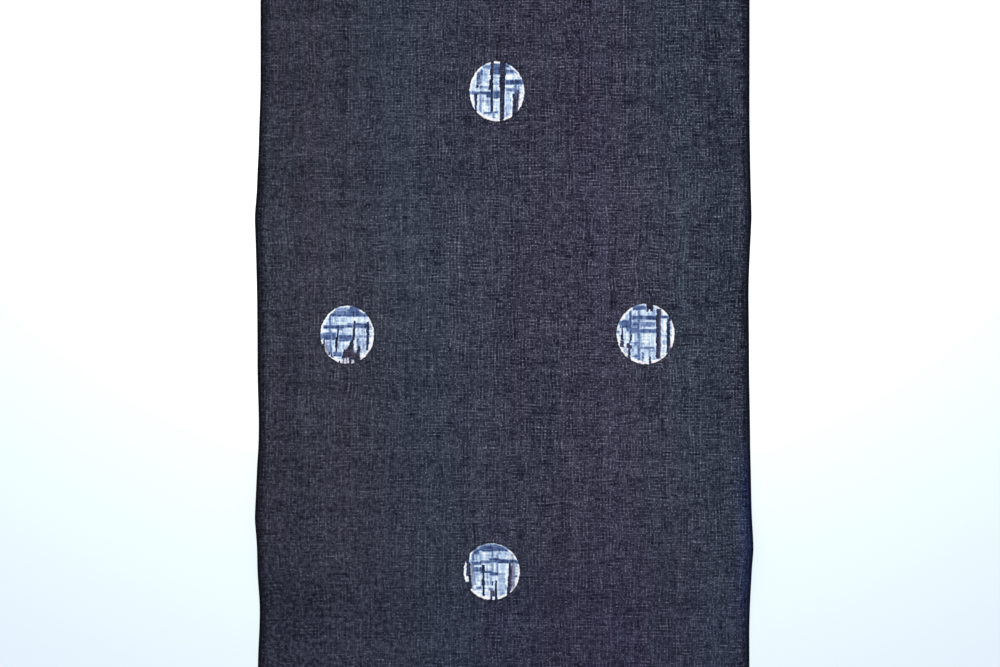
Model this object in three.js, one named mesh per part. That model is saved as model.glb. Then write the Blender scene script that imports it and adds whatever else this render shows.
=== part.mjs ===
// A cut length of narrow-loom cotton, plain woven and resist-dyed with round dots, laid out flat.
// Two soft ridges cross it, where it had been folded up. Everything else lies on the surface.
// Millimetres. +Y runs along the length, +X across the width, +Z is up.
// The origin is on the surface under the middle of the cloth's outline.

import * as THREE from "three";

const CLOTH_WIDTH = 380;
const CLOTH_LENGTH = 720;
const CLOTH_THICKNESS = 1.2;

// The two fold ridges. Crest and height are given at each selvedge, and bow is how far the middle
// of the crest stands from the straight line between them. A ridge's flanks reach upY towards +Y
// and downY towards -Y before they meet the surface.
const FOLDS = [
  { crestLeft: 87.5, crestRight: 90.5, bow: 2.5, heightLeft: 12.5, heightRight: 11, upY: 95, downY: 60 },
  { crestLeft: -142, crestRight: -165, bow: -2, heightLeft: 17, heightRight: 15, upY: 78, downY: 66 },
];

// How rounded a crest is, as a share of the flank's reach, and how strongly a flank hollows.
const CREST_ROUNDING = 0.05;
const FLANK_HOLLOW = 1.5;

// How far each selvedge stands outside half the width, at places along the length.
const SELVEDGES = [
  { along: 360, left: -1.4, right: 0.3 },
  { along: 200, left: -1.6, right: 0.1 },
  { along: 150, left: -0.6, right: 0.1 },
  { along: 90, left: 0.8, right: -0.1 },
  { along: 40, left: 1.1, right: -0.5 },
  { along: -20, left: 0.8, right: -0.1 },
  { along: -85, left: -0.5, right: 0.8 },
  { along: -105, left: 0, right: 1 },
  { along: -180, left: 0, right: 0.4 },
  { along: -216, left: -1, right: 0 },
  { along: -260, left: 0.4, right: 0.1 },
  { along: -360, left: -0.4, right: 0.3 },
];

// The mesh: columns across the width, rows on each flat stretch, and rows down each flank of a fold,
// as shares of its reach.
const COLUMNS = 16;
const FLAT_ROWS = 6;
const FLANK_ROWS = [0.04, 0.1, 0.18, 0.28, 0.4, 0.54, 0.7, 0.85];

// Distance of a fold's crest along the length, at a share of the width from the left selvedge.
function crestAt(fold, across) {
  const straight = THREE.MathUtils.lerp(fold.crestLeft, fold.crestRight, across);
  return straight + fold.bow * 4 * across * (1 - across);
}

// How far one fold lifts the cloth: full height on the crest, falling in a hollow curve to the surface.
function foldLift(fold, across, along) {
  const fromCrest = along - crestAt(fold, across);
  const reach = fromCrest > 0 ? fold.upY : fold.downY;
  const away = Math.hypot(fromCrest / reach, CREST_ROUNDING) - CREST_ROUNDING;
  const height = THREE.MathUtils.lerp(fold.heightLeft, fold.heightRight, across);
  return height * Math.max(0, 1 - away) ** FLANK_HOLLOW;
}

// Height of the cloth's underside.
function lift(across, along) {
  return FOLDS.reduce((sum, fold) => sum + foldLift(fold, across, along), 0);
}

// How far a selvedge stands outside half the width, eased from one row of the table to the next.
function selvedgeAt(side, along) {
  const below = SELVEDGES.findIndex((row) => row.along <= along);
  if (below <= 0) {
    return SELVEDGES.at(below)[side];
  }
  const from = SELVEDGES[below - 1];
  const to = SELVEDGES[below];
  const share = THREE.MathUtils.smoothstep(along, to.along, from.along);
  return THREE.MathUtils.lerp(to[side], from[side], share);
}

// Distance across the width, negative on the left.
function acrossAt(across, along) {
  const left = -CLOTH_WIDTH / 2 - selvedgeAt("left", along);
  const right = CLOTH_WIDTH / 2 + selvedgeAt("right", along);
  return THREE.MathUtils.lerp(left, right, across);
}

// Places of the rows along one column, from the top end down. Rows follow the crests, so that
// each crest is an edge of the mesh.
function rowPlaces(across) {
  const places = [CLOTH_LENGTH / 2];
  const addFlat = (end) => {
    const start = places.at(-1);
    for (let row = 1; row <= FLAT_ROWS; row += 1) {
      places.push(THREE.MathUtils.lerp(start, end, row / FLAT_ROWS));
    }
  };
  for (const fold of FOLDS) {
    const crest = crestAt(fold, across);
    addFlat(crest + fold.upY * (1 + CREST_ROUNDING));
    FLANK_ROWS.toReversed().forEach((share) => places.push(crest + fold.upY * share));
    places.push(crest);
    FLANK_ROWS.forEach((share) => places.push(crest - fold.downY * share));
    places.push(crest - fold.downY * (1 + CREST_ROUNDING));
  }
  addFlat(-CLOTH_LENGTH / 2);
  return places;
}

// The sheet as one closed body: a top face, an underside, and the four cut or woven edges.
function clothGeometry() {
  const columns = Array.from({ length: COLUMNS + 1 }, (_, column) => column / COLUMNS);
  const rows = rowPlaces(0).length;
  const positions = [];
  for (const faceHeight of [0, CLOTH_THICKNESS]) {
    for (const across of columns) {
      for (const along of rowPlaces(across)) {
        positions.push(acrossAt(across, along), along, lift(across, along) + faceHeight);
      }
    }
  }
  const upper = columns.length * rows;
  const corner = (column, row) => column * rows + row;
  const faces = [];
  const addQuad = (a, b, c, d) => faces.push(a, b, c, a, c, d);
  for (let column = 0; column < COLUMNS; column += 1) {
    for (let row = 0; row < rows - 1; row += 1) {
      const quad = [corner(column, row), corner(column, row + 1), corner(column + 1, row + 1), corner(column + 1, row)];
      addQuad(...quad.map((point) => point + upper));
      addQuad(...quad.toReversed());
    }
  }
  for (let row = 0; row < rows - 1; row += 1) {
    const left = [corner(0, row), corner(0, row + 1)];
    const right = [corner(COLUMNS, row + 1), corner(COLUMNS, row)];
    for (const [from, to] of [left, right]) {
      addQuad(from, to, to + upper, from + upper);
    }
  }
  for (let column = 0; column < COLUMNS; column += 1) {
    const bottomEnd = [corner(column, rows - 1), corner(column + 1, rows - 1)];
    const topEnd = [corner(column + 1, 0), corner(column, 0)];
    for (const [from, to] of [bottomEnd, topEnd]) {
      addQuad(from, to, to + upper, from + upper);
    }
  }
  const geometry = new THREE.BufferGeometry();
  geometry.setAttribute("position", new THREE.Float32BufferAttribute(positions, 3));
  geometry.setIndex(faces);
  geometry.computeVertexNormals();
  return geometry;
}

const indigoCotton = new THREE.MeshStandardMaterial({ color: 0x3a3d4a, roughness: 0.95, metalness: 0 });

const cloth = new THREE.Mesh(clothGeometry(), indigoCotton);
cloth.name = "cloth";

const dyedCloth = new THREE.Group();
dyedCloth.add(cloth);

export default dyedCloth;
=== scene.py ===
"""A length of indigo cotton with resist-dyed dots, laid out flat, with the two ridges of its old folds.

Lengths are millimetres, apart from the sheet's flat size, the floor and the lights, which are in metres.
+X runs across the cloth, +Y along it and +Z up from the surface.
"""

import math
from collections import namedtuple

import bpy
import numpy as np
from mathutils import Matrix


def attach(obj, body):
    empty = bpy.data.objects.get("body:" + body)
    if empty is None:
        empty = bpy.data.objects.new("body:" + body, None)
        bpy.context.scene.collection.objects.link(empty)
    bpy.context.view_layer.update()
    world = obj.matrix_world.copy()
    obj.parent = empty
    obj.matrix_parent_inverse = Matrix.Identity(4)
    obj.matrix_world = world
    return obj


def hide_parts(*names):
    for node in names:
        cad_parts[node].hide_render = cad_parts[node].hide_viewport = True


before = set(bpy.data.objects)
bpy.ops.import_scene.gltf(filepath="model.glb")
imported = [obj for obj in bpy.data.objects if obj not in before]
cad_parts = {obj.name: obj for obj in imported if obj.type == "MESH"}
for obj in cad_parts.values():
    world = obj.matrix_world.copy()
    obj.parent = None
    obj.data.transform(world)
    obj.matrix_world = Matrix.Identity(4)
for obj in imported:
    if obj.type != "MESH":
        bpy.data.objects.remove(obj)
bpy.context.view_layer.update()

MM = 0.001
MM_PER_METRE = 1000.0

# The cloth
CLOTH_WIDTH = 380.0
CLOTH_LENGTH = 720.0
CLOTH_THICKNESS = 1.0

# The two fold ridges, as the solid has them. Crest and height are given at each selvedge, and bow is how
# far the middle of the crest stands from the straight line between them. up and down are the flanks' reach.
Fold = namedtuple("Fold", "crest_left crest_right bow height_left height_right up down")
FOLDS = (
    Fold(
        crest_left=87.5, crest_right=90.5, bow=2.5,
        height_left=12.5, height_right=11.0, up=95.0, down=60.0,
    ),
    Fold(
        crest_left=-142.0, crest_right=-165.0, bow=-2.0,
        height_left=17.0, height_right=15.0, up=78.0, down=66.0,
    ),
)
CREST_ROUNDING = 0.05
FLANK_HOLLOW = 1.5

# How far each selvedge stands outside half the width, at places along the length
Selvedge = namedtuple("Selvedge", "along left right")
SELVEDGES = (
    Selvedge(-360.0, -0.4, 0.9),
    Selvedge(-260.0, 0.4, 0.8),
    Selvedge(-216.0, -1.0, 0.7),
    Selvedge(-184.0, 0.0, 1.0),
    Selvedge(-162.0, -0.4, 1.5),
    Selvedge(-138.0, 0.1, 1.2),
    Selvedge(-105.0, 0.0, 1.5),
    Selvedge(-85.0, -0.5, 1.4),
    Selvedge(-20.0, 0.8, 0.6),
    Selvedge(40.0, 1.1, 0.2),
    Selvedge(88.0, 0.8, 0.7),
    Selvedge(114.0, -0.2, 0.6),
    Selvedge(150.0, -0.8, 0.7),
    Selvedge(200.0, -1.6, 1.0),
    Selvedge(360.0, -1.4, 1.1),
)

# The dots, by the middle of each and its width and height
Dot = namedtuple("Dot", "name x y width height whites slits bands streaks creeps rubs")

# A mark inside a dot, from the dot's middle. A white, slit or streak runs along the warp, from low to high
# in Y, about the line X = at. A band runs along the weft, from low to high in X, about the line Y = at.
# lean is how far that line moves from low to high, half_low and half_high are half its width at its two
# ends, and dye is how dark it is. A white keeps slits out. A creep is a band that also crosses the white
# rim. A rub runs like a streak and is a thin, brownish stain, and its dye is how strong it is.
Mark = namedtuple("Mark", "at low high half_low half_high dye lean", defaults=(1.0, 0.0))

DOTS = (
    Dot(
        "top", -5.0, 187.7, 42.4, 46.6,
        whites=(
            Mark(18.6, -14.0, -4.0, 1.0, 1.2),
        ),
        slits=(
            Mark(-3.7, 13.0, 24.5, 1.0, 1.1, 0.96),
            Mark(-4.1, 13.2, 18.0, 1.4, 1.0),
            Mark(-4.0, -15.8, 13.6, 0.9, 0.9, 1.03),
            Mark(-5.3, 1.4, 9.5, 1.4, 0.9, 1.0, 0.4),
            Mark(3.7, -24.5, 24.5, 1.35, 2.3, 1.0, 1.0),
            Mark(2.7, 3.5, 11.0, 0.8, 0.8, 0.9),
            Mark(13.2, -22.5, -4.0, 1.9, 2.2, 0.98, 1.6),
            Mark(16.4, -5.0, 1.3, 0.9, 0.6),
            Mark(13.0, -4.4, -1.8, 0.7, 0.7, 0.95),
            Mark(-16.1, -15.0, -1.6, 0.5, 1.2, 1.0, -0.5),
            Mark(-15.5, 2.9, 5.0, 0.9, 0.8),
        ),
        bands=(
            Mark(19.0, -10.5, -5.0, 1.0, 1.4, 0.6),
            Mark(17.4, -2.8, 2.8, 4.1, 3.9, 0.68),
            Mark(14.1, -2.8, 2.4, 0.8, 0.7, 0.78),
            Mark(20.4, 6.6, 12.0, 1.5, 1.3, 0.74),
            Mark(15.6, 6.8, 15.8, 1.5, 1.2, 0.7),
            Mark(7.3, 6.8, 20.6, 1.7, 1.7, 0.77),
            Mark(6.5, 12.6, 15.6, 1.0, 0.9, 0.86),
            Mark(1.4, 7.0, 15.0, 1.4, 1.3, 0.52),
            Mark(-2.2, 7.0, 10.2, 0.7, 0.6, 0.38),
            Mark(3.3, -14.6, -7.0, 1.0, 1.0, 0.52),
            Mark(-1.2, -20.8, -5.0, 1.0, 1.1, 0.7),
            Mark(-1.1, -20.0, -18.2, 0.8, 0.6, 0.85),
            Mark(-3.1, -8.2, -4.8, 1.6, 1.6, 0.68),
            Mark(-2.2, -2.8, 2.2, 2.9, 2.7, 0.58),
            Mark(-4.8, -2.2, 0.6, 0.6, 0.5, 0.86),
            Mark(5.6, -2.8, 2.0, 0.5, 0.5, 0.42),
            Mark(8.3, -2.8, 2.0, 0.5, 0.5, 0.28),
            Mark(-16.9, -9.9, 0.6, 0.6, 0.6, 0.7, 0.6),
        ),
        streaks=(
            Mark(-11.8, 12.6, 17.2, 0.9, 0.8, 0.7),
            Mark(-14.8, 5.6, 10.4, 0.8, 0.7, 0.8),
            Mark(-14.2, 6.0, 15.4, 1.4, 1.2, 0.66),
            Mark(-12.7, -16.6, -2.2, 0.8, 0.8, 0.46),
            Mark(-12.5, 2.2, 4.4, 0.8, 0.8, 0.64),
            Mark(-6.8, -10.8, -5.4, 0.6, 0.6, 0.42),
            Mark(-6.0, -15.0, -4.8, 1.1, 1.1, 0.26),
            Mark(-18.2, -1.0, 8.0, 1.2, 0.8, 0.3),
            Mark(14.6, -4.5, 5.6, 1.2, 0.7, 0.66),
            Mark(17.0, -1.0, 4.4, 0.8, 0.6, 0.45),
            Mark(8.2, -20.0, -3.0, 1.7, 1.5, 0.32),
            Mark(7.4, -19.5, -16.0, 0.6, 0.6, 0.5),
            Mark(13.6, 9.8, 13.8, 0.7, 0.7, 0.26),
            Mark(-2.5, -21.0, -17.4, 0.8, 0.7, 0.56),
            Mark(-8.5, 14.6, 18.0, 2.0, 1.6, 0.3),
        ),
        creeps=(
            Mark(21.0, 6.6, 11.0, 1.0, 0.9, 0.58),
            Mark(7.4, 18.8, 21.6, 1.6, 1.5, 0.55),
            Mark(-1.2, -21.6, -18.0, 0.9, 0.7, 0.6),
            Mark(19.2, -11.0, -7.0, 0.9, 1.2, 0.5),
        ),
        rubs=(
            Mark(16.2, -9.6, 0.4, 1.4, 1.0, 0.5),
            Mark(-14.4, 4.6, 15.0, 1.0, 0.9, 0.18),
        ),
    ),
    Dot(
        "left", -121.1, -1.0, 41.3, 44.9,
        whites=(
            Mark(6.0, -13.2, -4.2, 1.0, 0.8),
            Mark(-1.7, -22.6, -18.2, 1.1, 0.8),
            Mark(0.6, -22.0, -17.8, 0.7, 0.6),
            Mark(4.3, -22.6, -19.6, 1.1, 0.8),
        ),
        slits=(
            Mark(-8.7, -13.9, 4.6, 0.55, 0.6, 1.0, 1.8),
            Mark(-8.1, -10.0, -1.8, 1.0, 0.9, 1.05),
            Mark(4.6, -4.6, 10.8, 1.0, 0.7, 1.0, 1.2),
            Mark(2.3, -11.6, -3.2, 2.7, 0.6, 1.0, 1.9),
            Mark(2.8, -18.4, -11.2, 7.1, 6.2, 0.97, 0.7),
            Mark(8.8, -12.0, -8.6, 1.2, 0.8),
            Mark(3.3, -25.0, -18.0, 6.8, 6.6, 0.97),
            Mark(-6.1, -23.5, -20.2, 0.6, 0.4, 0.95),
            Mark(15.2, -12.0, 10.0, 0.7, 0.8, 1.0, 0.9),
            Mark(15.8, -7.4, 8.4, 0.9, 1.15, 1.0, 0.1),
            Mark(-18.0, -8.0, -3.4, 0.7, 0.4),
            Mark(-18.6, -16.0, -7.0, 1.9, 0.8),
            Mark(-11.2, -17.6, -15.0, 0.7, 0.5, 0.92, -1.6),
            Mark(-14.1, -15.8, -13.4, 0.6, 0.5, 0.85),
        ),
        bands=(
            Mark(15.4, -13.6, 16.4, 1.1, 1.3, 0.76),
            Mark(17.4, -10.8, 12.8, 1.3, 1.5, 0.66),
            Mark(20.4, 1.9, 11.0, 1.9, 1.6, 0.7),
            Mark(19.0, -0.7, 2.5, 1.0, 1.0, 0.68),
            Mark(20.0, -9.2, 0.4, 1.3, 1.2, 0.5),
            Mark(6.1, -18.9, -2.6, 1.3, 1.2, 0.75),
            Mark(6.6, -3.0, 4.2, 0.9, 1.0, 0.62),
            Mark(8.3, 0.0, 4.4, 0.6, 0.7, 0.5),
            Mark(7.1, 5.8, 15.0, 1.6, 1.7, 0.78),
            Mark(6.4, 16.8, 20.4, 0.9, 0.8, 0.55),
            Mark(4.5, -7.4, -3.4, 1.0, 0.8, 0.58),
            Mark(3.2, -3.2, 2.6, 0.5, 0.5, 0.3),
            Mark(-1.2, -20.6, -8.8, 2.3, 2.9, 0.71),
            Mark(-2.5, -6.4, 3.4, 2.4, 2.1, 0.75),
            Mark(-1.4, 6.4, 14.4, 1.0, 0.9, 0.5),
            Mark(-15.0, -10.8, -4.2, 1.4, 1.6, 0.73),
        ),
        streaks=(
            Mark(-13.3, -3.6, 15.0, 1.0, 1.0, 0.6),
            Mark(-12.7, -16.0, -3.6, 1.1, 0.9, 0.55),
            Mark(-15.0, -14.6, -4.4, 1.6, 1.2, 0.4),
            Mark(-4.9, 7.4, 14.0, 0.6, 0.6, 0.24),
            Mark(9.4, 8.6, 14.0, 0.8, 0.8, 0.26),
            Mark(14.0, 8.4, 14.0, 0.7, 0.7, 0.26),
            Mark(8.5, -9.6, 5.4, 0.9, 0.8, 0.38),
            Mark(12.2, -12.4, 5.4, 1.1, 0.9, 0.36),
            Mark(8.1, -9.4, -1.8, 0.9, 0.7, 0.58),
            Mark(-5.0, -13.6, -4.8, 0.9, 0.7, 0.3),
            Mark(-10.4, -13.0, -4.4, 0.6, 0.5, 0.2),
        ),
        creeps=(
            Mark(20.9, 2.4, 9.4, 1.2, 1.1, 0.6),
            Mark(15.4, 12.4, 16.4, 1.2, 1.0, 0.5),
            Mark(-1.2, -21.0, -18.4, 2.2, 2.0, 0.5),
            Mark(20.4, -9.0, -0.2, 0.7, 0.7, 0.34),
        ),
        rubs=(
            Mark(-16.6, -15.0, -6.4, 1.5, 1.1, 0.6),
            Mark(2.0, -12.6, -9.0, 3.4, 2.6, 0.5),
            Mark(3.4, -21.4, -17.2, 7.6, 7.0, 0.4),
            Mark(12.0, -14.6, 4.4, 1.8, 1.6, 0.14),
        ),
    ),
    Dot(
        "right", 110.3, -0.4, 44.7, 46.5,
        whites=(
            Mark(7.0, 17.0, 23.0, 1.0, 0.6),
            Mark(3.0, 16.6, 18.9, 0.9, 0.4),
        ),
        slits=(
            Mark(3.3, 17.4, 25.5, 2.5, 2.7, 0.98),
            Mark(9.6, -19.0, 19.4, 1.7, 1.7, 0.905, 0.6),
            Mark(8.5, -18.4, 14.0, 0.5, 0.5, 1.03, 0.2),
            Mark(17.2, -14.6, 11.8, 1.0, 0.9, 1.0, 0.6),
            Mark(17.6, -9.4, 8.4, 1.4, 1.2),
            Mark(18.6, 10.0, 15.5, 0.8, 0.7),
            Mark(19.0, -16.5, -10.5, 0.8, 0.5, 0.91),
            Mark(-18.1, -1.0, 5.2, 0.7, 0.35, 0.96),
            Mark(-18.3, -4.7, -0.8, 1.0, 0.9, 1.04),
            Mark(-18.3, -9.8, -5.2, 1.5, 1.3, 0.96),
            Mark(-11.9, -5.4, -0.4, 0.7, 0.6, 1.06, 0.8),
            Mark(-13.3, -10.8, -7.2, 1.4, 1.1, 0.94),
            Mark(-11.2, -11.3, -8.7, 0.9, 0.8, 0.9),
            Mark(-12.7, -22.5, -10.4, 1.0, 0.8, 0.96),
            Mark(3.4, -24.5, -17.4, 0.9, 0.6, 0.94),
        ),
        bands=(
            Mark(20.0, -9.8, 0.2, 1.5, 1.3, 0.7),
            Mark(12.7, -10.4, 8.4, 1.5, 1.6, 0.75),
            Mark(13.0, 11.2, 17.4, 0.9, 0.8, 0.8),
            Mark(13.0, -15.6, -12.2, 1.0, 1.0, 0.36),
            Mark(7.8, -19.6, -12.0, 2.9, 2.9, 0.7),
            Mark(7.5, -10.6, 7.6, 2.0, 1.9, 0.5),
            Mark(8.5, 0.6, 7.2, 0.7, 0.6, 0.62),
            Mark(8.1, -10.2, -4.6, 1.5, 1.4, 0.62),
            Mark(2.2, -4.6, 8.4, 1.5, 1.5, 0.6),
            Mark(2.3, 1.4, 8.4, 1.2, 1.1, 0.74),
            Mark(2.8, -10.6, -5.8, 2.2, 2.2, 0.63),
            Mark(3.6, -14.8, -10.2, 1.4, 1.5, 0.6),
            Mark(-10.7, -4.6, 6.6, 0.9, 0.9, 0.58),
            Mark(-7.4, -3.6, -0.9, 0.8, 0.8, 0.52),
            Mark(-8.2, -10.0, -4.4, 2.0, 1.8, 0.52),
            Mark(-17.2, -8.8, -4.2, 1.8, 1.9, 0.62),
            Mark(-4.6, -19.0, -12.4, 0.6, 0.6, 0.2),
        ),
        streaks=(
            Mark(-11.8, -7.0, 18.2, 0.7, 0.8, 0.84),
            Mark(-5.3, -20.4, 19.0, 1.0, 0.9, 0.62),
            Mark(-8.0, 14.2, 18.4, 0.7, 0.7, 0.36),
            Mark(-3.4, 14.2, 18.2, 0.6, 0.6, 0.3),
            Mark(-7.4, -6.0, 1.2, 1.4, 1.2, 0.34),
            Mark(-9.2, -18.6, -10.6, 1.2, 1.0, 0.36),
            Mark(-10.2, -13.8, -11.2, 0.8, 0.8, 0.5),
            Mark(-2.2, -18.6, -14.2, 0.9, 0.7, 0.66),
            Mark(-2.4, -21.4, -19.0, 0.7, 0.6, 0.5),
            Mark(3.0, -17.6, -11.8, 0.8, 0.8, 0.42),
            Mark(6.2, -19.2, -11.8, 0.8, 0.7, 0.36),
            Mark(5.2, -9.0, -0.4, 1.4, 0.8, 0.22),
            Mark(-16.0, -4.0, 4.0, 0.8, 0.6, 0.26),
            Mark(-16.0, -14.0, -10.8, 1.0, 0.8, 0.3),
        ),
        creeps=(
            Mark(20.6, -9.6, -0.4, 1.5, 1.4, 0.62),
            Mark(8.6, -20.8, -17.0, 1.6, 1.4, 0.5),
            Mark(1.4, -22.0, -20.2, 0.7, 0.6, 0.55),
            Mark(13.1, 15.6, 18.6, 0.8, 0.7, 0.6),
        ),
        rubs=(
            Mark(17.9, -14.6, -6.4, 1.3, 1.0, 0.6),
            Mark(-15.4, -14.6, -9.6, 1.6, 1.2, 0.34),
            Mark(11.0, -18.4, 18.0, 0.6, 0.6, 0.5, 0.4),
        ),
    ),
    Dot(
        "bottom", -9.0, -183.5, 43.0, 45.3,
        whites=(
            Mark(1.3, -24.0, -20.2, 0.8, 0.9),
        ),
        slits=(
            Mark(-18.0, -3.6, 7.5, 1.7, 1.3, 0.98, 0.2),
            Mark(-16.0, -13.5, -2.9, 0.9, 0.9, 1.0, -1.1),
            Mark(-18.6, 6.7, 17.6, 1.0, 1.6, 1.0, 0.2),
            Mark(-18.4, -15.9, -8.3, 2.4, 1.1),
            Mark(-6.5, -19.3, 1.5, 0.8, 0.6, 1.04),
            Mark(-6.4, 0.7, 5.5, 1.3, 0.9, 1.04),
            Mark(-6.6, -10.8, -6.5, 1.3, 1.1, 1.02),
            Mark(3.2, -24.5, -7.1, 1.0, 0.6, 1.0, 0.2),
            Mark(0.5, -24.0, -15.1, 1.9, 1.5, 0.93),
            Mark(0.6, -10.9, -7.5, 0.5, 0.5, 0.84),
            Mark(12.7, -21.4, 7.5, 1.1, 0.7, 1.0, 1.4),
            Mark(14.0, -15.4, 4.6, 1.0, 0.9, 0.96, 1.1),
        ),
        bands=(
            Mark(19.1, -9.8, 13.0, 2.4, 2.4, 0.68),
            Mark(17.3, -7.0, 12.6, 0.7, 0.7, 0.8),
            Mark(19.9, -2.8, 1.6, 0.9, 0.8, 0.84),
            Mark(15.9, -14.6, -9.6, 1.3, 2.2, 0.68),
            Mark(22.0, -8.0, 6.0, 0.7, 0.7, 0.62),
            Mark(6.9, -15.6, -8.0, 1.4, 1.4, 0.74),
            Mark(7.9, -8.6, -1.6, 1.2, 1.3, 0.62),
            Mark(9.2, -2.0, 5.2, 1.9, 1.6, 0.72),
            Mark(8.5, 4.8, 20.4, 1.5, 1.3, 0.82),
            Mark(1.8, -14.8, -7.8, 2.0, 1.7, 0.66),
            Mark(-0.2, -8.2, 0.4, 0.8, 0.9, 0.74),
            Mark(-1.7, -1.6, 4.8, 1.3, 1.3, 0.73),
            Mark(-1.9, 4.8, 10.0, 0.7, 0.6, 0.44),
            Mark(-1.7, -15.0, -7.6, 1.1, 1.0, 0.46),
            Mark(-12.9, -12.0, -8.2, 0.9, 0.9, 0.6),
            Mark(-13.9, -2.4, 0.8, 1.0, 0.9, 0.5),
            Mark(-3.8, 15.0, 20.8, 0.6, 0.5, 0.74),
        ),
        streaks=(
            Mark(-14.4, -0.9, 14.7, 1.0, 1.0, 0.56),
            Mark(-13.2, -10.5, -1.3, 1.0, 0.9, 0.52),
            Mark(-14.8, -12.3, -2.9, 0.8, 0.8, 0.34),
            Mark(0.6, -2.3, 16.7, 0.9, 1.0, 0.48),
            Mark(4.2, 0.1, 16.3, 0.8, 0.8, 0.42),
            Mark(-1.2, 10.7, 16.5, 0.8, 0.8, 0.3),
            Mark(8.6, 10.5, 16.3, 2.2, 2.4, 0.26),
            Mark(-0.6, -10.5, -2.9, 1.0, 1.0, 0.4),
            Mark(7.6, -18.5, -2.7, 2.4, 2.4, 0.34),
            Mark(7.6, -18.9, -15.3, 1.3, 1.3, 0.44),
            Mark(8.6, 0.7, 6.9, 2.6, 2.6, 0.22),
            Mark(16.8, -2.7, 6.9, 1.3, 1.3, 0.34),
            Mark(16.2, -11.9, -4.3, 1.0, 1.4, 0.42),
            Mark(-3.4, -18.7, -16.1, 0.6, 0.5, 0.34),
        ),
        creeps=(
            Mark(21.0, -9.0, 4.6, 1.4, 1.1, 0.42),
            Mark(17.6, -14.4, -9.0, 2.0, 2.4, 0.4),
            Mark(19.2, 6.4, 13.2, 1.5, 1.3, 0.42),
            Mark(7.6, 18.0, 20.6, 1.2, 1.1, 0.6),
        ),
        rubs=(
            Mark(16.0, -14.0, 6.6, 1.6, 1.9, 0.66),
            Mark(-15.9, -13.4, 5.6, 1.2, 1.2, 0.55),
            Mark(0.4, -19.4, -13.6, 1.5, 1.2, 0.6),
            Mark(15.4, 9.6, 14.6, 1.2, 1.0, 0.4),
        ),
    ),
)
DOT_MARGIN = 3.5

# How much darker the selvedge is, by the distance from the edge: the dense selvedge's own darker tone, and
# in its outer 2 mm a near-black line of painted edge shade. Threads show fully past the second distance of
# SELVEDGE_THREADS, and with the share that follows up to the first.
SELVEDGE_SHADES = (
    (0.0, 0.2), (1.0, 0.2), (1.2, 0.215), (1.8, 0.195), (2.2, 0.105),
    (2.8, 0.085), (3.6, 0.095), (4.6, 0.09), (5.6, 0.03), (8.0, 0.0),
)
SELVEDGE_THREADS = (1.0, 5.0, 0.25)

# The stretch of the right selvedge that is more blue
NAVY_MIDDLE = -153.0
NAVY_REACH = 99.0
NAVY_WIDTH = 18.0
NAVY = (-0.002, 0.017, 0.085)

# The lower end is more blue, and the colours across drift to the right on their way down
LOWER_BLUE = 0.011
LOWER_BLUE_FROM = -110.0
LOWER_BLUE_FULL = -220.0
COLOUR_DRIFT = 0.07

# Threads look softer to the left and to the lower end: from one place to another, and the share of their
# light that is left at the first. Blurred noise takes the place of what is lost.
SOFT_LEFT = (-170.0, 40.0, 0.66)
SOFT_LOWER = (-300.0, 20.0, 0.76)
FUZZ = 2.6

# Slow changes of tone in clouds, along the warp and along the weft, and of hue
CLOUDS = 0.6
WARP_LOTS = 0.5
WEFT_LOTS = 0.9
LOT_STRENGTH = 0.32
VIOLET = 0.016

# The mesh
COLUMN_STEP = 2.6
SELVEDGE_COLUMNS = (0.0, 0.5, 1.4, 2.6, 3.6)
FLAT_STEP = 4.0
FLANK_STEP = 2.4

# The threads: their pitch, how far they drift over long and short stretches, and how far apart the noise
# is read for two neighbours
THREAD_PITCH = 1.3
THREAD_DRIFT = 4.5
THREAD_UNEVENNESS = 1.1
NEIGHBOURS_APART = 13.37

# How much each part of a thread adds to its light: crown, speck and rib are painted highlight on the thread
# tops, with painted shade between threads, while slub and the long parts are the threads' own tone
CROWN_LIGHT = 0.34
SPECK_LIGHT = 0.48
SPECK_CONTRAST = 0.7
RIB_LIGHT = 0.6
SLUB_LIGHT = 1.4
LONG_WARP_LIGHT = 0.36
LONG_WEFT_LIGHT = 0.22
DASH_SHADE = 0.35
MEAN_LIGHT = 0.477

# The cotton's surface
ROUGHNESS = 0.92
SPECULAR = 0.15
SHEEN = 0.05
SHEEN_ROUGHNESS = 0.5
BUMP_STRENGTH = 0.5
BUMP_DISTANCE = 0.00025

# The dots: how far a mark's outline wanders from thread to thread, how soft its edge is, how dark a band or
# streak can get, and how much light the threads add
RAGGEDNESS = 1.3
CRISP_EDGE = 0.4
SOFT_EDGE = 0.95
DARKEST_DYE = 0.86
DOT_THREAD_LIGHT = 0.3

# A slit whose dye passes the first pair shows the ground in place of cotton. Past the second it is deep
# indigo and not worn, and it gets darker still over the third.
SLIT_SHOWS = (0.88, 0.98)
SLIT_IS_DEEP = (0.975, 0.995)
SLIT_DARKENS = (0.97, 1.05)

# The floor's colour by the distance in metres from a point past the cloth's upper end: a painted pool of
# light, white round the cloth and falling off to a painted, bluish shade further out. It glows with this
# painted light, and takes only a share of the lamps' light, so that the cloth throws hardly any shadow on
# it. Under the cloth, as far from its middle across and along as FLOOR_COVERED says, it doesn't glow.
LIGHT_POOL_CENTRE = (0.0, 0.45, 0.0)
FLOOR_LIGHT_POOL = (
    (0.0, (0.98, 0.99, 1.0)), (0.5, (0.98, 0.99, 1.0)), (0.58, (0.685, 0.735, 0.745)),
    (0.69, (0.6, 0.685, 0.715)), (0.79, (0.55, 0.615, 0.68)), (1.2, (0.52, 0.58, 0.65)),
)
FLOOR_DROP = 0.0003
FLOOR_ROUGHNESS = 0.9
FLOOR_SHARE = 0.22
FLOOR_GLOW = 1.15
FLOOR_COVERED = (0.187, 0.357)
FLOOR_FADE = 0.012
FLOOR_REACH = 40.0

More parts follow.
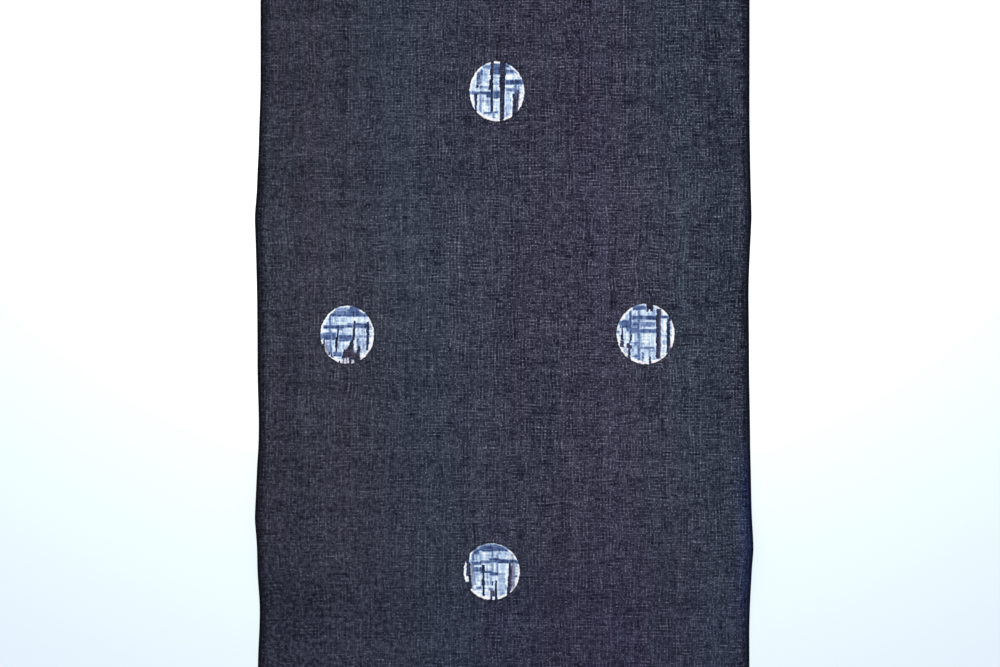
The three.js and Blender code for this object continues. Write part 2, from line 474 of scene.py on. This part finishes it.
# The room's light, and a square softbox that faces the middle of the cloth
ROOM_COLOUR = (0.95, 0.98, 1.0, 1.0)
ROOM_STRENGTH = 0.8
SOFTBOX_SIZE = 3.0
SOFTBOX_POWER = 38.0
SOFTBOX_PLACE = (-0.25, 0.35, 2.4)

# The camera stands above the middle of the picture
CAMERA_HEIGHT = 1200.0
CAMERA_X = -2.64
PICTURE_WIDTH = 775.5
SENSOR_WIDTH = 36.0


def ease(share):
    """Smooth step from 0 to 1."""
    return share * share * (3.0 - 2.0 * share)


def selvedge_offset(side, along):
    """How far a selvedge stands outside half the width at a place along the cloth."""
    for low, high in zip(SELVEDGES, SELVEDGES[1:]):
        if along <= high.along:
            share = ease(max(0.0, (along - low.along) / (high.along - low.along)))
            return getattr(low, side) * (1.0 - share) + getattr(high, side) * share
    return getattr(SELVEDGES[-1], side)


def crest_at(fold, across):
    """Place of a fold's crest along the length, at a share of the width from the left."""
    straight = fold.crest_left + (fold.crest_right - fold.crest_left) * across
    return straight + fold.bow * 4.0 * across * (1.0 - across)


def fold_lift(fold, across, along):
    """How far one fold lifts the cloth: full height on the crest, then a hollow curve to the surface."""
    from_crest = along - crest_at(fold, across)
    reach = fold.up if from_crest > 0.0 else fold.down
    away = math.hypot(from_crest / reach, CREST_ROUNDING) - CREST_ROUNDING
    height = fold.height_left + (fold.height_right - fold.height_left) * across
    return height * max(0.0, 1.0 - away) ** FLANK_HOLLOW


def lift(across, along):
    """Height of the cloth's underside above the surface."""
    return sum(fold_lift(fold, across, along) for fold in FOLDS)


def column_places():
    """Shares of the width, closer together beside the selvedges."""
    inner = CLOTH_WIDTH - 2.0 * SELVEDGE_COLUMNS[-1]
    steps = round(inner / COLUMN_STEP)
    left = [place / CLOTH_WIDTH for place in SELVEDGE_COLUMNS]
    middle = [(SELVEDGE_COLUMNS[-1] + inner * step / steps) / CLOTH_WIDTH for step in range(1, steps)]
    return left + middle + [1.0 - share for share in reversed(left)]


def row_places(across, counts=None):
    """Places of the rows along one column. Rows follow the crests."""
    stops = [-CLOTH_LENGTH / 2.0]
    for fold in reversed(FOLDS):
        crest = crest_at(fold, across)
        foot = 1.0 + CREST_ROUNDING
        stops += [crest - fold.down * foot, crest, crest + fold.up * foot]
    stops.append(CLOTH_LENGTH / 2.0)
    steps = (FLAT_STEP, FLANK_STEP, FLANK_STEP, FLAT_STEP, FLANK_STEP, FLANK_STEP, FLAT_STEP)
    counts = counts or [round((high - low) / step) for low, high, step in zip(stops, stops[1:], steps)]
    rows = [stops[0]]
    for low, high, count in zip(stops, stops[1:], counts):
        rows += [low + (high - low) * step / count for step in range(1, count + 1)]
    return rows, counts


def cloth_mesh():
    """The sheet as one closed mesh, with the distance from the nearer selvedge at each point."""
    columns = column_places()
    _, counts = row_places(0.5)
    grid = []
    for across in columns:
        rows, _ = row_places(across, counts)
        for along in rows:
            left = -CLOTH_WIDTH / 2.0 - selvedge_offset("left", along)
            right = CLOTH_WIDTH / 2.0 + selvedge_offset("right", along)
            x = left + (right - left) * across
            grid.append((x, along, lift(across, along), min(x - left, right - x)))
    under = np.array(grid)
    upper = under.copy()
    upper[:, 2] += CLOTH_THICKNESS
    points = np.concatenate([upper, under])
    row_count = len(rows)
    column_count = len(columns)
    index = np.arange(column_count * row_count).reshape(column_count, row_count)
    top = np.stack([index[:-1, :-1], index[1:, :-1], index[1:, 1:], index[:-1, 1:]], axis=-1).reshape(-1, 4)
    bottom = top[:, ::-1] + index.size
    rim_lines = (index[0, ::-1], index[:, 0], index[-1, :], index[::-1, -1])
    rims = []
    for line in rim_lines:
        corners = (line[:-1], line[:-1] + index.size, line[1:] + index.size, line[1:])
        rims.append(np.stack(corners, axis=-1))
    faces = np.concatenate([top, bottom, *rims])
    mesh = bpy.data.meshes.new("cloth")
    mesh.from_pydata((points[:, :3] * MM).tolist(), [], faces.tolist())
    from_selvedge = mesh.attributes.new("from_selvedge", "FLOAT", "POINT")
    from_selvedge.data.foreach_set("value", points[:, 3].astype(np.float32))
    smooth = np.zeros(len(faces), bool)
    smooth[: 2 * len(top)] = True
    mesh.polygons.foreach_set("use_smooth", smooth)
    mark_rim_sharp(mesh, np.concatenate(rim_lines), index.size)
    return mesh


def mark_rim_sharp(mesh, rim, upper_count):
    """Sharp edges where the faces meet the cut and woven edges."""
    on_rim = np.zeros(2 * upper_count, bool)
    on_rim[rim] = True
    on_rim[rim + upper_count] = True
    ends = np.zeros(2 * len(mesh.edges), np.int32)
    mesh.edges.foreach_get("vertices", ends)
    ends = ends.reshape(-1, 2)
    sharp = mesh.attributes.new("sharp_edge", "BOOLEAN", "EDGE")
    sharp.data.foreach_set("value", on_rim[ends].all(axis=1))


class Num:
    """A number in a node tree, which Python's signs and the functions below work on."""

    def __init__(self, tree, socket):
        self.tree = tree
        self.socket = socket

    def __add__(self, other):
        return maths(self.tree, "ADD", self, other)

    def __sub__(self, other):
        return maths(self.tree, "SUBTRACT", self, other)

    def __rsub__(self, other):
        return maths(self.tree, "SUBTRACT", other, self)

    def __mul__(self, other):
        return maths(self.tree, "MULTIPLY", self, other)

    def __truediv__(self, other):
        return maths(self.tree, "DIVIDE", self, other)

    __radd__ = __add__
    __rmul__ = __mul__


def connect(tree, socket, value):
    """Links a number or socket to an input, or sets the input to a plain value."""
    if isinstance(value, Num):
        value = value.socket
    if isinstance(value, bpy.types.NodeSocket):
        tree.links.new(value, socket)
    else:
        socket.default_value = value


def maths(tree, operation, *values):
    node = tree.nodes.new("ShaderNodeMath")
    node.operation = operation
    for socket, value in zip(node.inputs, values):
        connect(tree, socket, value)
    return Num(tree, node.outputs[0])


def map_range(tree, value, low, high, to_low=0.0, to_high=1.0, smooth=False):
    """The value's place between low and high, turned into one between to_low and to_high."""
    node = tree.nodes.new("ShaderNodeMapRange")
    node.interpolation_type = "SMOOTHSTEP" if smooth else "LINEAR"
    for socket, given in zip(node.inputs, (value, low, high, to_low, to_high)):
        connect(tree, socket, given)
    return Num(tree, node.outputs[0])


def noise_at(tree, x, y, scale=1.0, detail=0.0, roughness=0.5):
    """Smooth noise about 0.5 at a place on the cloth."""
    place = tree.nodes.new("ShaderNodeCombineXYZ")
    connect(tree, place.inputs[0], x)
    connect(tree, place.inputs[1], y)
    node = tree.nodes.new("ShaderNodeTexNoise")
    node.noise_dimensions = "2D"
    node.inputs["Scale"].default_value = scale
    node.inputs["Detail"].default_value = detail
    node.inputs["Roughness"].default_value = roughness
    tree.links.new(place.outputs[0], node.inputs["Vector"])
    return Num(tree, node.outputs[0])


def ramp(tree, value, stops, kind="EASE"):
    """A colour that follows value through (place, colour) stops."""
    node = tree.nodes.new("ShaderNodeValToRGB")
    node.color_ramp.interpolation = kind
    low, high = stops[0][0], stops[-1][0]
    elements = node.color_ramp.elements
    while len(elements) < len(stops):
        elements.new(1.0)
    for element, (place, colour) in zip(elements, stops):
        element.position = (place - low) / (high - low)
        element.color = (*colour, 1.0)
    connect(tree, node.inputs[0], map_range(tree, value, low, high))
    return node.outputs[0]


def speckle(tree, x, y):
    """A number from 0 to 1 that differs from each whole place to the next."""
    place = tree.nodes.new("ShaderNodeCombineXYZ")
    connect(tree, place.inputs[0], x)
    connect(tree, place.inputs[1], y)
    node = tree.nodes.new("ShaderNodeTexWhiteNoise")
    node.noise_dimensions = "2D"
    tree.links.new(place.outputs[0], node.inputs["Vector"])
    return Num(tree, node.outputs["Value"])


def scaled(tree, colour, factor):
    """A colour made lighter or darker by a factor."""
    node = tree.nodes.new("ShaderNodeVectorMath")
    node.operation = "SCALE"
    connect(tree, node.inputs[0], colour)
    connect(tree, node.inputs["Scale"], factor)
    return node.outputs[0]


def vector_maths(tree, operation, *values):
    node = tree.nodes.new("ShaderNodeVectorMath")
    node.operation = operation
    for socket, value in zip(node.inputs, values):
        connect(tree, socket, value)
    return node.outputs["Value" if operation == "DISTANCE" else "Vector"]


def mix_colour(tree, share, first, second, blend="MIX"):
    node = tree.nodes.new("ShaderNodeMix")
    node.data_type = "RGBA"
    node.blend_type = blend
    node.clamp_result = False
    connect(tree, node.inputs["Factor"], share)
    for socket, colour in zip((node.inputs[6], node.inputs[7]), (first, second)):
        connect(tree, socket, (*colour, 1.0) if isinstance(colour, tuple) else colour)
    return node.outputs[2]


def group_of(name, inputs, outputs):
    """An empty node group with number inputs and outputs, and its two end nodes."""
    tree = bpy.data.node_groups.new(name, "ShaderNodeTree")
    for label in inputs:
        tree.interface.new_socket(label, in_out="INPUT", socket_type="NodeSocketFloat")
    for label, kind in outputs:
        tree.interface.new_socket(label, in_out="OUTPUT", socket_type=kind)
    given = tree.nodes.new("NodeGroupInput")
    result = tree.nodes.new("NodeGroupOutput")
    return tree, [Num(tree, socket) for socket in given.outputs[: len(inputs)]], result


def use_group(tree, group, *values):
    node = tree.nodes.new("ShaderNodeGroup")
    node.node_tree = group
    for socket, value in zip(node.inputs, values):
        connect(tree, socket, value)
    return node


# How strongly the softbox and the room light the cloth
LIGHT = 1.42


def look(red, green, blue):
    """A colour as it looks in a picture, from 0 to 255, as numbers from 0 to 1. White dye-free cotton goes
    past 255, so that its lightest threads come out fully white."""
    return red / 255.0, green / 255.0, blue / 255.0


def seen(red, green, blue):
    """Linear colour of cotton that looks like this, in 0 to 255, under the scene's light."""
    return tuple(((part + 0.055) / 1.055) ** 2.4 / LIGHT for part in look(red, green, blue))


def cotton_that_looks(tree, colour):
    """The same for a colour that the node tree works out, from 0 to 1."""
    lifted = vector_maths(tree, "MULTIPLY_ADD", colour, (1.0 / 1.055,) * 3, (0.055 / 1.055,) * 3)
    node = tree.nodes.new("ShaderNodeGamma")
    node.inputs["Gamma"].default_value = 2.4
    connect(tree, node.inputs["Color"], lifted)
    return scaled(tree, node.outputs[0], 1.0 / LIGHT)


# Colours
# Painted light and shade along the length: brightest over the upper fold's lower flank, falling off to
# painted shade towards both ends, most at the lower end
PAINTED_LIGHT_ALONG = (
    (-300.0, 0.84), (-205.0, 0.88), (-150.0, 0.95), (-80.0, 1.0), (0.0, 1.01),
    (70.0, 1.03), (95.0, 1.01), (130.0, 0.98), (260.0, 0.955),
)
ACROSS_COLOURS = (
    (-186.0, look(51, 53, 67)),
    (-135.0, look(57, 59, 73)),
    (-60.0, look(57, 63, 79)),
    (-20.0, look(57, 60, 78)),
    (20.0, look(58, 58, 77)),
    (85.0, look(61, 59, 80)),
    (115.0, look(59, 61, 78)),
    (142.0, look(57, 63, 80)),
    (186.0, look(51, 56, 73)),
)
GROUND_TONE = 0.235
DYE_COLOURS = (
    (0.0, seen(274, 275, 278)),
    (0.12, seen(242, 258, 271)),
    (0.26, seen(208, 230, 257)),
    (0.42, seen(154, 176, 218)),
    (0.58, seen(108, 130, 177)),
    (0.75, seen(70, 91, 142)),
    (0.90, seen(40, 52, 88)),
    (1.0, seen(28, 32, 52)),
)
RUBBED = seen(128, 116, 137)
PINK_TINT = (1.0, 0.86, 0.92)
WORN_TINT = (1.2, 1.0, 1.12)
DEEP_TINT = (0.85, 0.97, 1.15)


def weave_group():
    """Plain weave: how much lighter than the mean the thread on top looks, and the threads' relief. The
    light is partly the threads' own tone and partly painted highlight on each crown, with painted shade
    between threads.
    """
    tree, (x, y), result = group_of(
        "weave", ("X", "Y"), (("Light", "NodeSocketFloat"), ("Relief", "NodeSocketFloat"))
    )
    x_now = x + (noise_at(tree, x, y, 0.03, 1.0) - 0.5) * THREAD_DRIFT
    y_now = y + (noise_at(tree, x + 431.0, y, 0.03, 1.0) - 0.5) * THREAD_DRIFT
    x_now = x_now + (noise_at(tree, x * 0.4, y * 0.03, 1.0) - 0.5) * THREAD_UNEVENNESS
    y_now = y_now + (noise_at(tree, x * 0.03, y * 0.4 + 53.0, 1.0) - 0.5) * THREAD_UNEVENNESS
    warp_place = x_now / THREAD_PITCH
    weft_place = y_now / THREAD_PITCH
    warp = maths(tree, "FLOOR", warp_place)
    weft = maths(tree, "FLOOR", weft_place)
    warp_tone = noise_at(tree, warp * NEIGHBOURS_APART, y * 0.05, 1.0, 2.0)
    weft_tone = noise_at(tree, x * 0.09, weft * NEIGHBOURS_APART, 1.0, 2.0)
    long_warp = noise_at(tree, warp * NEIGHBOURS_APART + 7.3, y * 0.008, 1.0) - 0.5
    long_weft = noise_at(tree, x * 0.008, weft * NEIGHBOURS_APART + 7.3, 1.0) - 0.5
    warp_on_top = maths(tree, "FLOORED_MODULO", warp + weft, 2.0)
    weft_on_top = 1.0 - warp_on_top
    from_middle_x = maths(tree, "ABSOLUTE", maths(tree, "FRACT", warp_place) - 0.5)
    from_middle_y = maths(tree, "ABSOLUTE", maths(tree, "FRACT", weft_place) - 0.5)
    side = from_middle_x * warp_on_top + from_middle_y * weft_on_top
    end = from_middle_y * warp_on_top + from_middle_x * weft_on_top
    # Painted highlight: brightest in the middle of the thread on top, shading off to its sides and ends
    crown = (1.0 - side * side * 4.0) * (1.0 - end * end * 1.6)
    speck = speckle(tree, warp, weft)
    slubs = warp_tone * warp_on_top + weft_tone * weft_on_top
    every_other_warp = maths(tree, "FLOORED_MODULO", warp, 2.0) - 0.5
    every_other_weft = maths(tree, "FLOORED_MODULO", weft, 2.0) - 0.5
    warp_ribs = map_range(tree, noise_at(tree, x, y + 97.0, 0.07, 1.0), 0.4, 0.65, 0.0, 0.9)
    weft_ribs = map_range(tree, noise_at(tree, x, y + 311.0, 0.07, 1.0), 0.45, 0.65, 0.0, 0.9)
    ribs = every_other_warp * warp_ribs + every_other_weft * weft_ribs
    dash = map_range(tree, noise_at(tree, x * 0.11, weft * 7.7 + 19.0, 1.0), 0.68, 0.78)
    # Specks and ribs add painted glints to the crowns
    speck_light = speck * (speck * SPECK_CONTRAST + SPECK_LIGHT)
    light = crown * (speck_light + ribs * RIB_LIGHT + CROWN_LIGHT) + (slubs - 0.5) * SLUB_LIGHT
    light = light + long_warp * LONG_WARP_LIGHT + long_weft * LONG_WEFT_LIGHT
    light = light - dash * DASH_SHADE - MEAN_LIGHT
    connect(tree, result.inputs[0], light)
    connect(tree, result.inputs[1], crown)
    return tree


def mark_group():
    """How much dye a mark leaves at a place: soft at its edge."""
    labels = ("Across", "Along", "Soft", "At low", "At high", "Low", "High", "Half low", "Half high", "Dye")
    tree, values, result = group_of("mark", labels, (("Dye", "NodeSocketFloat"),))
    across, along, soft, at_low, at_high, low, high, half_low, half_high, dye = values
    middle = map_range(tree, along, low, high, at_low, at_high)
    half = map_range(tree, along, low, high, half_low, half_high)
    inside = half - maths(tree, "ABSOLUTE", across - middle)
    inside = maths(tree, "MINIMUM", inside, maths(tree, "MINIMUM", along - low, high - along))
    connect(tree, result.inputs[0], map_range(tree, inside, soft * -1.3, soft * 0.7, smooth=True) * dye)
    return tree


def ground_group(weave):
    """Colour of the dyed ground, the weave's light and its relief."""
    outputs = (("Colour", "NodeSocketColor"), ("Light", "NodeSocketFloat"), ("Relief", "NodeSocketFloat"))
    tree, (x, y), result = group_of("ground", ("X", "Y"), outputs)
    threads = use_group(tree, weave, x, y)
    light = Num(tree, threads.outputs[0])
    across = ramp(tree, x + y * COLOUR_DRIFT, ACROSS_COLOURS)
    # Painted light and shade along the length, as a grey tone
    tones = [(place, (value, value, value)) for place, value in PAINTED_LIGHT_ALONG]
    along = Num(tree, ramp(tree, y, tones))
    cloud = (noise_at(tree, x, y, 0.06, 2.0) - 0.5) * CLOUDS
    warp_lot = (noise_at(tree, x * 0.07, y * 0.003, 1.0, 1.0) - 0.5) * WARP_LOTS
    weft_lot = (noise_at(tree, x * 0.002, y * 0.06, 1.0, 1.0) - 0.5) * WEFT_LOTS
    lot = (cloud + warp_lot + weft_lot) * LOT_STRENGTH
    selvedge = tree.nodes.new("ShaderNodeAttribute")
    selvedge.attribute_name = "from_selvedge"
    from_selvedge = Num(tree, selvedge.outputs["Fac"])
    crispness = map_range(tree, x, *SOFT_LEFT, 1.0, smooth=True)
    crispness = crispness * map_range(tree, y, *SOFT_LOWER, 1.0, smooth=True)
    fuzz = (noise_at(tree, x, y, 0.33, 1.0) - 0.5) * (1.0 - crispness) * FUZZ
    crispness = crispness * map_range(tree, from_selvedge, *SELVEDGE_THREADS, 1.0, smooth=True)
    # light holds painted highlight on the thread tops, and along is painted light and shade along the
    # length
    lift = (light * crispness + fuzz + lot + along - 1.0) * GROUND_TONE
    # Painted edge shade in the outer selvedge, over the dense selvedge's own darker tone
    shades = [(place, (value, value, value)) for place, value in SELVEDGE_SHADES]
    lift = lift - Num(tree, ramp(tree, from_selvedge, shades))
    violet = (noise_at(tree, x * 0.07, y * 0.004 + 20.0, 1.0, 2.0) - 0.5) * VIOLET
    from_navy = maths(tree, "ABSOLUTE", y - NAVY_MIDDLE)
    on_right = map_range(tree, x, -1.0, 1.0)
    navy = map_range(tree, from_navy, NAVY_REACH, NAVY_REACH * 0.3, smooth=True)
    navy = navy * map_range(tree, from_selvedge, NAVY_WIDTH, 0.0, smooth=True) * on_right
    blue = map_range(tree, y, LOWER_BLUE_FROM, LOWER_BLUE_FULL, 0.0, LOWER_BLUE, smooth=True)
    shifts = tree.nodes.new("ShaderNodeCombineXYZ")
    for socket, shift, tint in zip(shifts.inputs, (lift + violet, lift - violet, lift + blue), NAVY):
        connect(tree, socket, shift + navy * tint)
    toned = cotton_that_looks(tree, vector_maths(tree, "ADD", across, shifts.outputs[0]))
    connect(tree, result.inputs[0], toned)
    connect(tree, result.inputs[1], light)
    connect(tree, result.inputs[2], Num(tree, threads.outputs[1]))
    return tree


def start_material(name, ground):
    """A cotton material, its tree, shader, place on the cloth and ground node. The relief is connected."""
    material = bpy.data.materials.new(name)
    material.use_nodes = True
    tree = material.node_tree
    shader = tree.nodes["Principled BSDF"]
    shader.inputs["Roughness"].default_value = ROUGHNESS
    shader.inputs["Specular IOR Level"].default_value = SPECULAR
    shader.inputs["Sheen Weight"].default_value = SHEEN
    shader.inputs["Sheen Roughness"].default_value = SHEEN_ROUGHNESS
    place = tree.nodes.new("ShaderNodeTexCoord")
    parts = tree.nodes.new("ShaderNodeSeparateXYZ")
    tree.links.new(place.outputs["Object"], parts.inputs[0])
    x = Num(tree, parts.outputs[0]) * MM_PER_METRE
    y = Num(tree, parts.outputs[1]) * MM_PER_METRE
    threads = use_group(tree, ground, x, y)
    bump = tree.nodes.new("ShaderNodeBump")
    bump.inputs["Strength"].default_value = BUMP_STRENGTH
    bump.inputs["Distance"].default_value = BUMP_DISTANCE
    tree.links.new(threads.outputs["Relief"], bump.inputs["Height"])
    tree.links.new(bump.outputs[0], shader.inputs["Normal"])
    return material, tree, shader, x, y, threads


def ground_material(ground):
    material, tree, shader, _, _, threads = start_material("indigo_ground", ground)
    tree.links.new(threads.outputs["Colour"], shader.inputs["Base Color"])
    return material


def most(tree, values):
    """The largest of several numbers."""
    result = values[0]
    for value in values[1:]:
        result = maths(tree, "MAXIMUM", result, value)
    return result


def all_marks(tree, mark, marks, across, along, soft):
    """The dye that a list of marks leaves at a place."""
    found = []
    for m in marks:
        sizes = (soft, m.at, m.at + m.lean, m.low, m.high, m.half_low, m.half_high, m.dye)
        found.append(Num(tree, use_group(tree, mark, across, along, *sizes).outputs[0]))
    return most(tree, found)


DotPlace = namedtuple("DotPlace", "x y run_x run_y warp weft")


def place_in_dot(tree, dot, x, y):
    """The place from the dot's middle, the same made ragged by the threads, and the threads there."""
    from_x = x - dot.x
    from_y = y - dot.y
    warp = maths(tree, "FLOOR", x / THREAD_PITCH)
    weft = maths(tree, "FLOOR", y / THREAD_PITCH)
    shift_x = (noise_at(tree, weft * 0.61, from_x * 0.05 + 40.0, 1.0, 1.0) - 0.5) * RAGGEDNESS
    shift_y = (noise_at(tree, warp * 0.61, from_y * 0.05 + 80.0, 1.0, 1.0) - 0.5) * RAGGEDNESS
    return DotPlace(from_x, from_y, from_x + shift_x, from_y + shift_y, warp, weft)


def edge_of_dot(tree, dot, place):
    """How far inside the dot's edge a place is, how much of the white rim it has, and how pink that is."""
    out_x = place.run_x / (dot.width / 2.0)
    out_y = place.run_y / (dot.height / 2.0)
    from_edge = (1.0 - maths(tree, "SQRT", out_x * out_x + out_y * out_y)) * (dot.width / 2.0)
    rim_width = noise_at(tree, place.x, place.y, 0.09) * 1.8 + out_x * out_x * 0.3
    rim_width = rim_width + map_range(tree, out_y, 0.2, -0.8, 0.0, 0.7)
    rim = map_range(tree, from_edge, rim_width + 0.5, rim_width - 0.3, smooth=True)
    pink = rim * map_range(tree, out_y - out_x * 0.6, 0.3, -0.7, 0.1, 0.8)
    pink = pink * map_range(tree, noise_at(tree, place.x, place.y, 0.16, 1.0), 0.4, 0.6, 0.35, 1.0)
    return from_edge, rim, pink


def thread_dye(tree, place):
    """How readily the threads take dye, and the faint dye that shows between the marks."""
    warp_take = noise_at(tree, place.warp * 3.1, place.y * 0.1, 1.0, 1.0)
    weft_take = noise_at(tree, place.x * 0.1, place.weft * 3.1, 1.0, 1.0)
    faint_warp = noise_at(tree, place.x * 0.4, place.y * 0.06, 1.0, 1.0)
    faint_weft = noise_at(tree, place.x * 0.06, place.y * 0.4, 1.0, 1.0)
    faint = map_range(tree, faint_warp + faint_weft, 0.82, 1.3, 0.0, 0.4)
    return warp_take + weft_take, faint


def slit_colour(tree, ground_colour, slits):
    """The ground as it shows in a slit: worn where the slit's dye is low and deep where it is high."""
    worn = mix_colour(tree, 1.0, ground_colour, WORN_TINT, "MULTIPLY")
    deep = scaled(tree, ground_colour, map_range(tree, slits, *SLIT_DARKENS, 0.9, 0.4))
    deep = mix_colour(tree, 1.0, deep, DEEP_TINT, "MULTIPLY")
    return mix_colour(tree, map_range(tree, slits, *SLIT_IS_DEEP), worn, deep)


def dot_material(dot, ground, mark):
    """A resist dot: undyed cotton with bands, streaks and slits where dye crept in."""
    material, tree, shader, x, y, threads = start_material("dot_" + dot.name, ground)
    ground_colour = threads.outputs["Colour"]
    light = Num(tree, threads.outputs["Light"])
    place = place_in_dot(tree, dot, x, y)
    along_warp = (place.run_x, place.run_y)
    along_weft = (place.run_y, place.run_x)
    whites = all_marks(tree, mark, dot.whites, *along_warp, CRISP_EDGE)
    slits = all_marks(tree, mark, dot.slits, *along_warp, CRISP_EDGE) * (1.0 - whites)
    bands = all_marks(tree, mark, dot.bands, *along_weft, SOFT_EDGE)
    streaks = all_marks(tree, mark, dot.streaks, *along_warp, SOFT_EDGE)
    creeps = all_marks(tree, mark, dot.creeps, *along_weft, SOFT_EDGE)
    from_edge, rim, pink = edge_of_dot(tree, dot, place)
    take, faint = thread_dye(tree, place)
    rubs = all_marks(tree, mark, dot.rubs, *along_warp, SOFT_EDGE) * (take * 0.5 + 0.5)

    dye = most(tree, (most(tree, (bands, streaks, faint)) * (1.0 - rim), creeps))
    dye = maths(tree, "MINIMUM", dye * ((take - 1.0) * 0.85 + 1.0), DARKEST_DYE)
    cotton = ramp(tree, maths(tree, "MAXIMUM", dye, slits), DYE_COLOURS)
    cotton = mix_colour(tree, rubs, cotton, RUBBED)
    # The weave's light on the cotton, with its painted highlight on the thread tops
    cotton = scaled(tree, cotton, light * DOT_THREAD_LIGHT + 1.0)
    cotton = mix_colour(tree, pink, cotton, mix_colour(tree, 1.0, cotton, PINK_TINT, "MULTIPLY"))
    slit = slit_colour(tree, ground_colour, slits)
    cut = mix_colour(tree, map_range(tree, slits, *SLIT_SHOWS), cotton, slit)
    ring = map_range(tree, from_edge, -1.8, -0.4, 1.0, 0.55, smooth=True)
    around = scaled(tree, ground_colour, ring)
    inside = map_range(tree, from_edge, -0.35, 0.35, smooth=True)
    connect(tree, shader.inputs["Base Color"], mix_colour(tree, inside, around, cut))
    return material


def cloth_piece():
    weave = weave_group()
    ground = ground_group(weave)
    mark = mark_group()
    mesh = cloth_mesh()
    mesh.materials.append(ground_material(ground))
    centres = np.zeros(3 * len(mesh.polygons), np.float32)
    mesh.polygons.foreach_get("center", centres)
    centres = centres.reshape(-1, 3) / MM
    slots = np.zeros(len(centres), np.int32)
    for number, dot in enumerate(DOTS, start=1):
        mesh.materials.append(dot_material(dot, ground, mark))
        away_x = (centres[:, 0] - dot.x) / (dot.width / 2.0 + DOT_MARGIN)
        away_y = (centres[:, 1] - dot.y) / (dot.height / 2.0 + DOT_MARGIN)
        slots[away_x ** 2 + away_y ** 2 < 1.0] = number
    mesh.polygons.foreach_set("material_index", slots)
    piece = bpy.data.objects.new("dyed_cloth", mesh)
    bpy.context.collection.objects.link(piece)
    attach(piece, "root")
    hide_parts("cloth")
    return piece


def floor():
    """A pale floor with a painted pool of light, brightest round the cloth, which also glows."""
    mesh = bpy.data.meshes.new("floor")
    corners = [(-1.0, -1.0), (1.0, -1.0), (1.0, 1.0), (-1.0, 1.0)]
    points = [(x * FLOOR_REACH, y * FLOOR_REACH, -FLOOR_DROP) for x, y in corners]
    mesh.from_pydata(points, [], [(0, 1, 2, 3)])
    material = bpy.data.materials.new("floor")
    material.use_nodes = True
    tree = material.node_tree
    shader = tree.nodes["Principled BSDF"]
    place = tree.nodes.new("ShaderNodeTexCoord")
    away = vector_maths(tree, "DISTANCE", place.outputs["Object"], LIGHT_POOL_CENTRE)
    # Painted pool of light: the floor's colour falls off with the distance from a point past the cloth's
    # upper end
    colour = ramp(tree, away, FLOOR_LIGHT_POOL, "LINEAR")
    parts = tree.nodes.new("ShaderNodeSeparateXYZ")
    tree.links.new(place.outputs["Object"], parts.inputs[0])
    past_side = maths(tree, "ABSOLUTE", Num(tree, parts.outputs[0])) - FLOOR_COVERED[0]
    past_end = maths(tree, "ABSOLUTE", Num(tree, parts.outputs[1])) - FLOOR_COVERED[1]
    bare = map_range(tree, maths(tree, "MAXIMUM", past_side, past_end), -FLOOR_FADE, 0.0, smooth=True)
    tree.links.new(scaled(tree, colour, FLOOR_SHARE), shader.inputs["Base Color"])
    # The painted pool of light also glows, except under the cloth
    tree.links.new(scaled(tree, colour, bare), shader.inputs["Emission Color"])
    shader.inputs["Emission Strength"].default_value = FLOOR_GLOW
    shader.inputs["Roughness"].default_value = FLOOR_ROUGHNESS
    mesh.materials.append(material)
    plane = bpy.data.objects.new("floor", mesh)
    bpy.context.collection.objects.link(plane)


def lights():
    world = bpy.data.worlds.new("studio")
    world.use_nodes = True
    background = world.node_tree.nodes["Background"]
    background.inputs["Color"].default_value = ROOM_COLOUR
    background.inputs["Strength"].default_value = ROOM_STRENGTH
    bpy.context.scene.world = world
    data = bpy.data.lights.new("softbox", "AREA")
    data.shape = "SQUARE"
    data.size = SOFTBOX_SIZE
    data.energy = SOFTBOX_POWER
    softbox = bpy.data.objects.new("softbox", data)
    softbox.location = SOFTBOX_PLACE
    to_cloth = -softbox.location
    softbox.rotation_euler = to_cloth.to_track_quat("-Z", "Y").to_euler()
    bpy.context.collection.objects.link(softbox)


def camera():
    data = bpy.data.cameras.new("camera")
    data.sensor_width = SENSOR_WIDTH
    data.lens = SENSOR_WIDTH * CAMERA_HEIGHT / PICTURE_WIDTH
    eye = bpy.data.objects.new("camera", data)
    eye.location = (CAMERA_X * MM, 0.0, (CAMERA_HEIGHT + CLOTH_THICKNESS) * MM)
    bpy.context.collection.objects.link(eye)
    bpy.context.scene.camera = eye


cloth_piece()
floor()
lights()
camera()
bpy.context.scene.view_settings.view_transform = "Standard"
